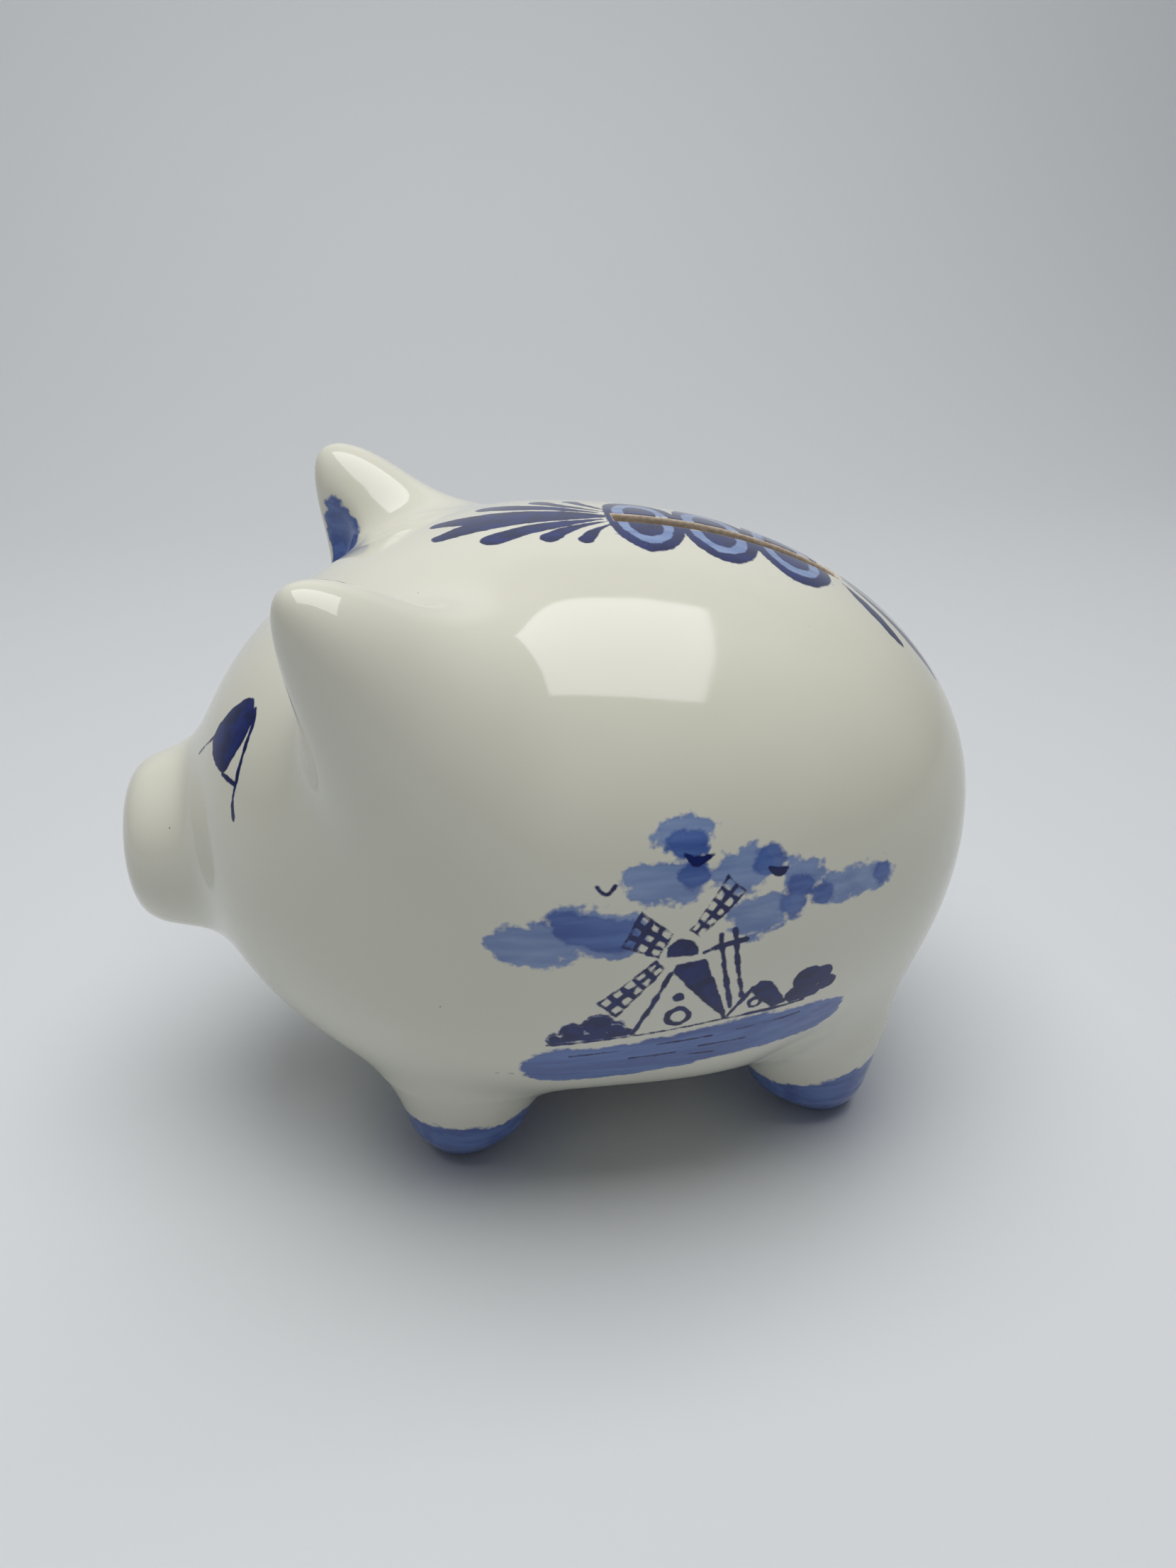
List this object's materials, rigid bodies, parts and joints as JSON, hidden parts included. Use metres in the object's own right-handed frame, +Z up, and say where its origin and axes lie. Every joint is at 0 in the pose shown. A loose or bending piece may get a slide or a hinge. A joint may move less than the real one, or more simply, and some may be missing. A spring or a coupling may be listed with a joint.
{
  "type": "piggy bank",
  "caption": "Round ceramic pig money box with hand-painted blue windmill scene, coin slot in the back, short feet, perky ears and a pull-out rubber stopper in the belly.",
  "frame": {"origin": "on the surface the pig stands on, under the middle of its bounding box", "axes": "the pig faces -X, its left side is -Y, +Z is up"},
  "size_m": [0.1314, 0.097, 0.1007],
  "materials": {
    "glaze": "clear gloss glaze over cream earthenware, with underglaze blue painting",
    "painted_glaze": "clear gloss glaze over blue paint, bare clay under the feet",
    "stopper_rubber": "matt moulded rubber"
  },
  "bodies": {
    "pig": {"body_shell": "glaze", "snout": "glaze", "ear_left": "glaze", "ear_right": "glaze", "foot_front_left": "painted_glaze", "foot_front_right": "painted_glaze", "foot_rear_left": "painted_glaze", "foot_rear_right": "painted_glaze", "tail": "painted_glaze"},
    "stopper": {"stopper": "stopper_rubber"}
  },
  "joints": [
    {"name": "stopper_pull", "type": "slide", "parent": "pig", "child": "stopper", "axis": [0, 0, -1], "range_m": [0, 0.008]}
  ]
}
